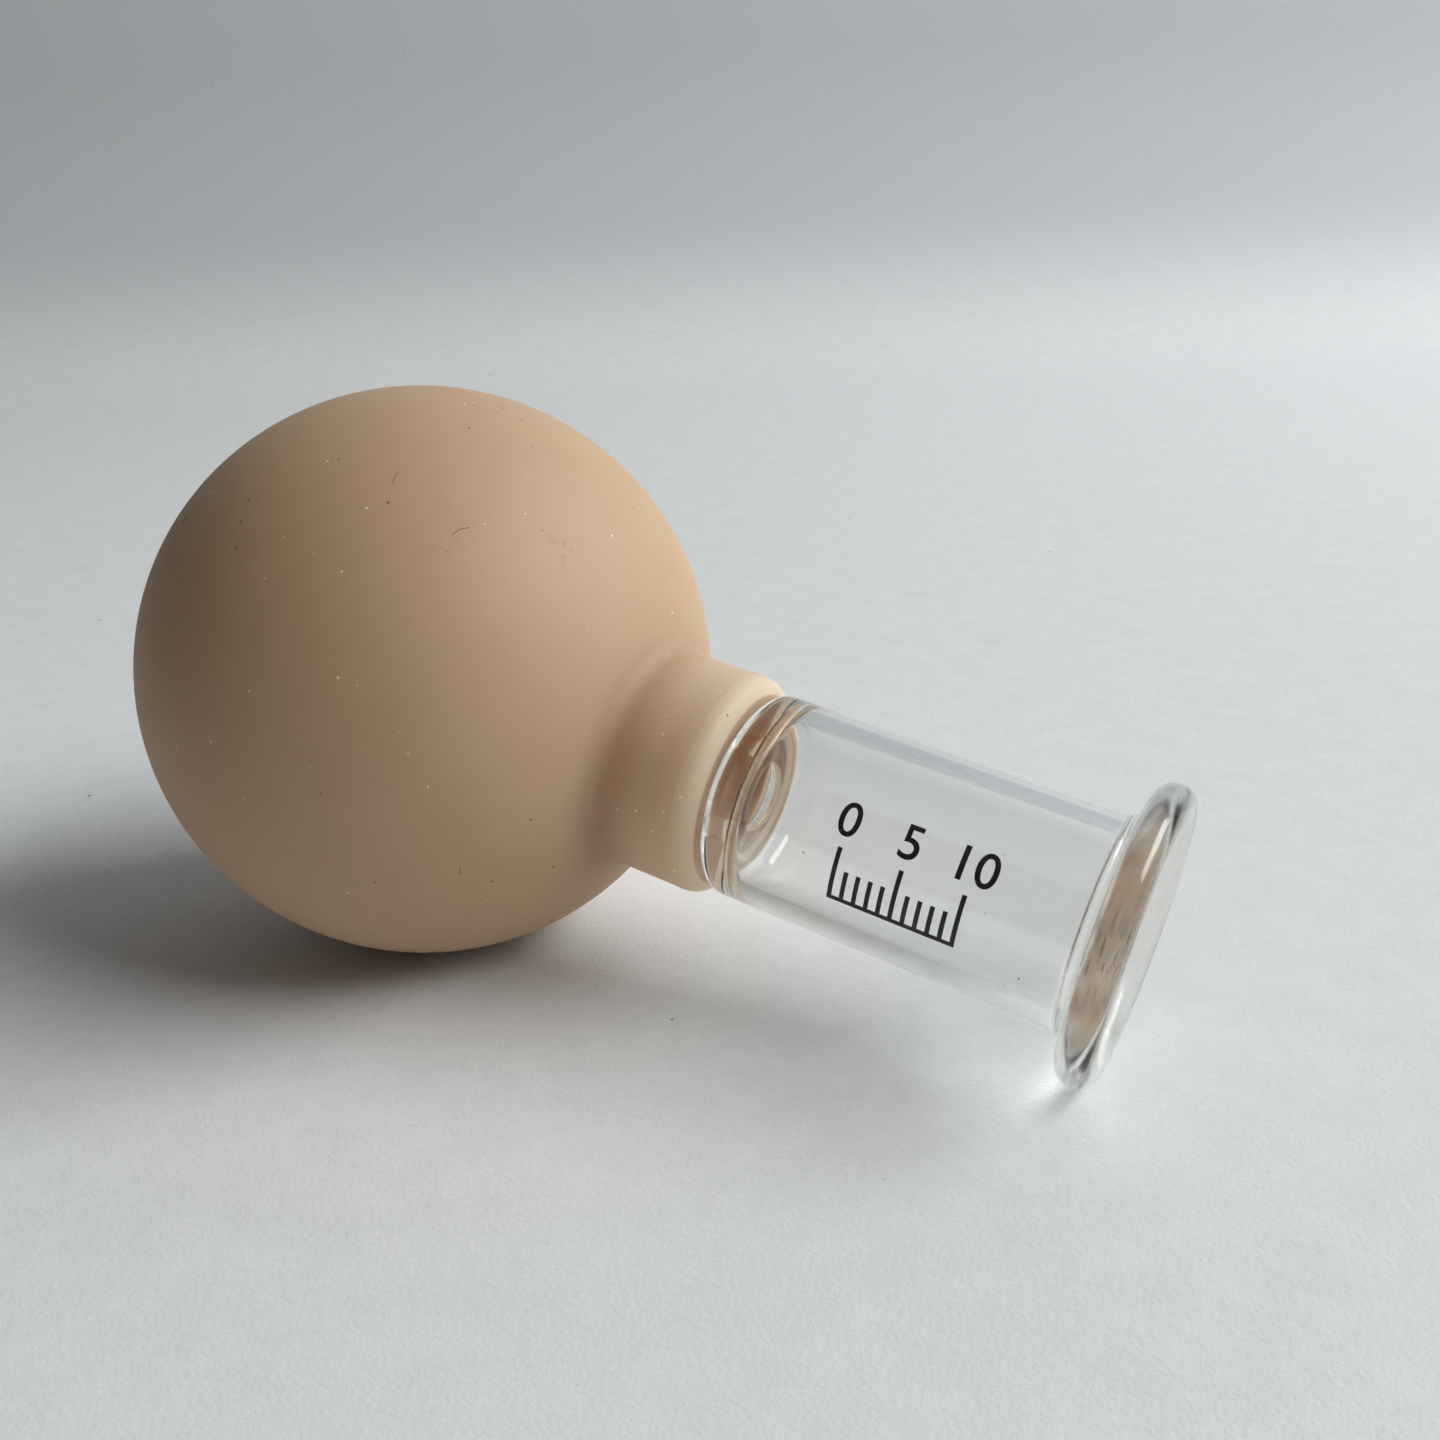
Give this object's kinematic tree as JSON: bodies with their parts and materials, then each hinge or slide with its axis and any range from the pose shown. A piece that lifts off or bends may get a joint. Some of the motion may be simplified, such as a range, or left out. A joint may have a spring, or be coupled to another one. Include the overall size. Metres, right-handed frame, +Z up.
{
  "type": "cupping cup",
  "caption": "Glass suction cup with a rolled rim and a soft silicone squeeze bulb pulled over its nozzle, for cupping the skin of the face.",
  "frame": {"origin": "centre of the bounding box's underside, on the table that the cup lies on", "axes": "+Z up, +X horizontal towards the mouth, +Y across; the cup's own axis lies in the XZ plane and leans down from the bulb to the mouth"},
  "size_m": [0.0932, 0.051, 0.0508],
  "materials": {
    "clear_glass": "clear, polished, fire-rounded edges",
    "silicone": "matte, warm beige, slightly powdery"
  },
  "bodies": {
    "cup": {"glass_cup": "clear_glass"},
    "bulb": {"bulb_body": "silicone"},
    "crown": {"bulb_crown": "silicone"}
  },
  "joints": [
    {"name": "bulb_pull_off", "type": "slide", "parent": "cup", "child": "bulb", "axis": [-0.9787, 0, 0.2054], "range_m": [0, 0.016]},
    {"name": "bulb_squeeze", "type": "slide", "parent": "bulb", "child": "crown", "axis": [0.9787, 0, -0.2054], "range_m": [0, 0.016], "stiffness_N_per_m": 750}
  ]
}
